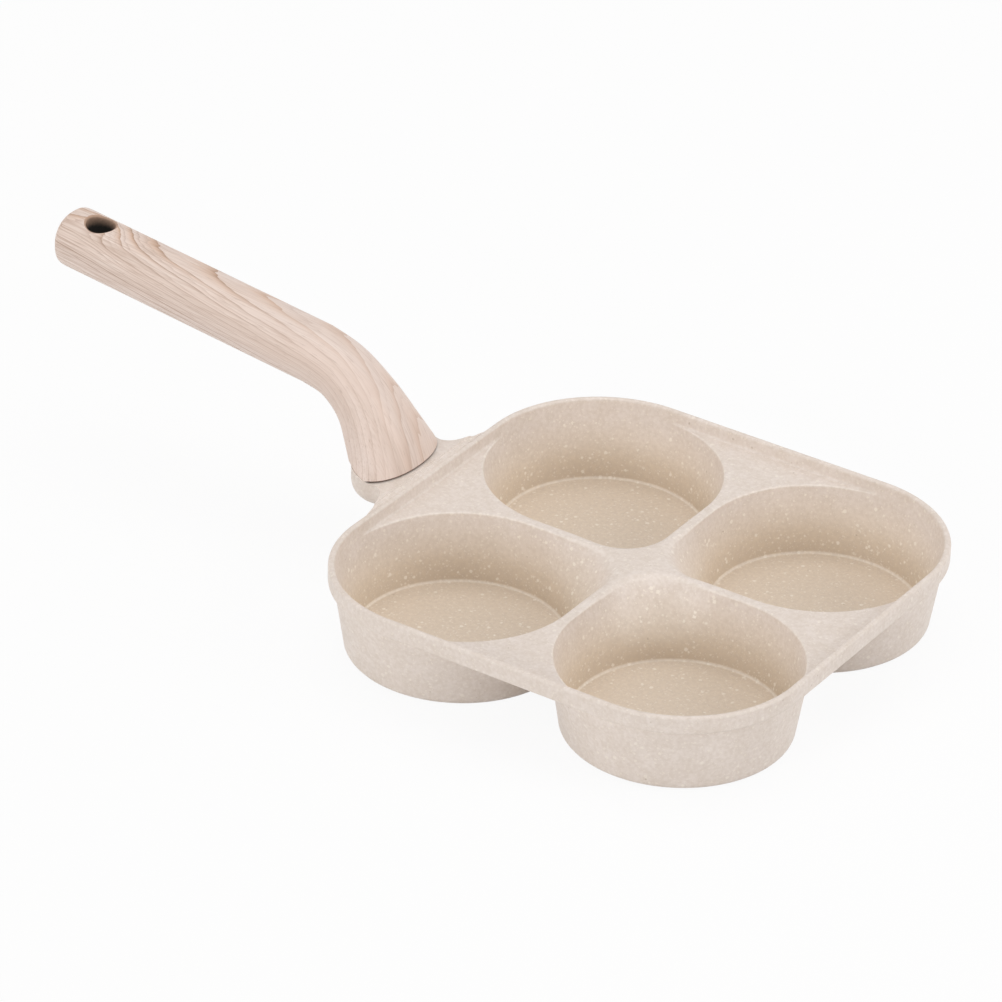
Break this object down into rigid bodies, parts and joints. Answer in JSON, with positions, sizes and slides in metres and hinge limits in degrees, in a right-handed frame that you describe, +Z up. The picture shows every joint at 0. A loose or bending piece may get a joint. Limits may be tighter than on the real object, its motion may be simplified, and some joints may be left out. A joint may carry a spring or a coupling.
{
  "type": "four-cup egg pan",
  "caption": "Square frying pan with deep round cups under a recessed deck, a raised rim and a long bent fixed handle with a hang hole.",
  "frame": {"origin": "middle of the whole pan's length and width, on the surface it stands on", "axes": "+Z is up; the handle runs toward -X from the middle of the casting's -X side; Y is across the handle"},
  "size_m": [0.4014, 0.215, 0.1042],
  "materials": {
    "stone_coating": "matte speckled stone-effect non-stick coating on cast aluminium",
    "wood_grain_moulding": "satin printed wood-grain finish on a heat-proof moulding",
    "bright_steel": "brushed stainless steel",
    "brass": "plain machined brass"
  },
  "bodies": {
    "root": {"pan_casting": "stone_coating", "handle_grip": "wood_grain_moulding", "threaded_insert": "brass", "handle_screw": "bright_steel", "spring_washer": "bright_steel", "plain_washer": "bright_steel", "induction_disc_front_left": "bright_steel", "induction_disc_front_right": "bright_steel", "induction_disc_rear_left": "bright_steel", "induction_disc_rear_right": "bright_steel"}
  },
  "joints": []
}
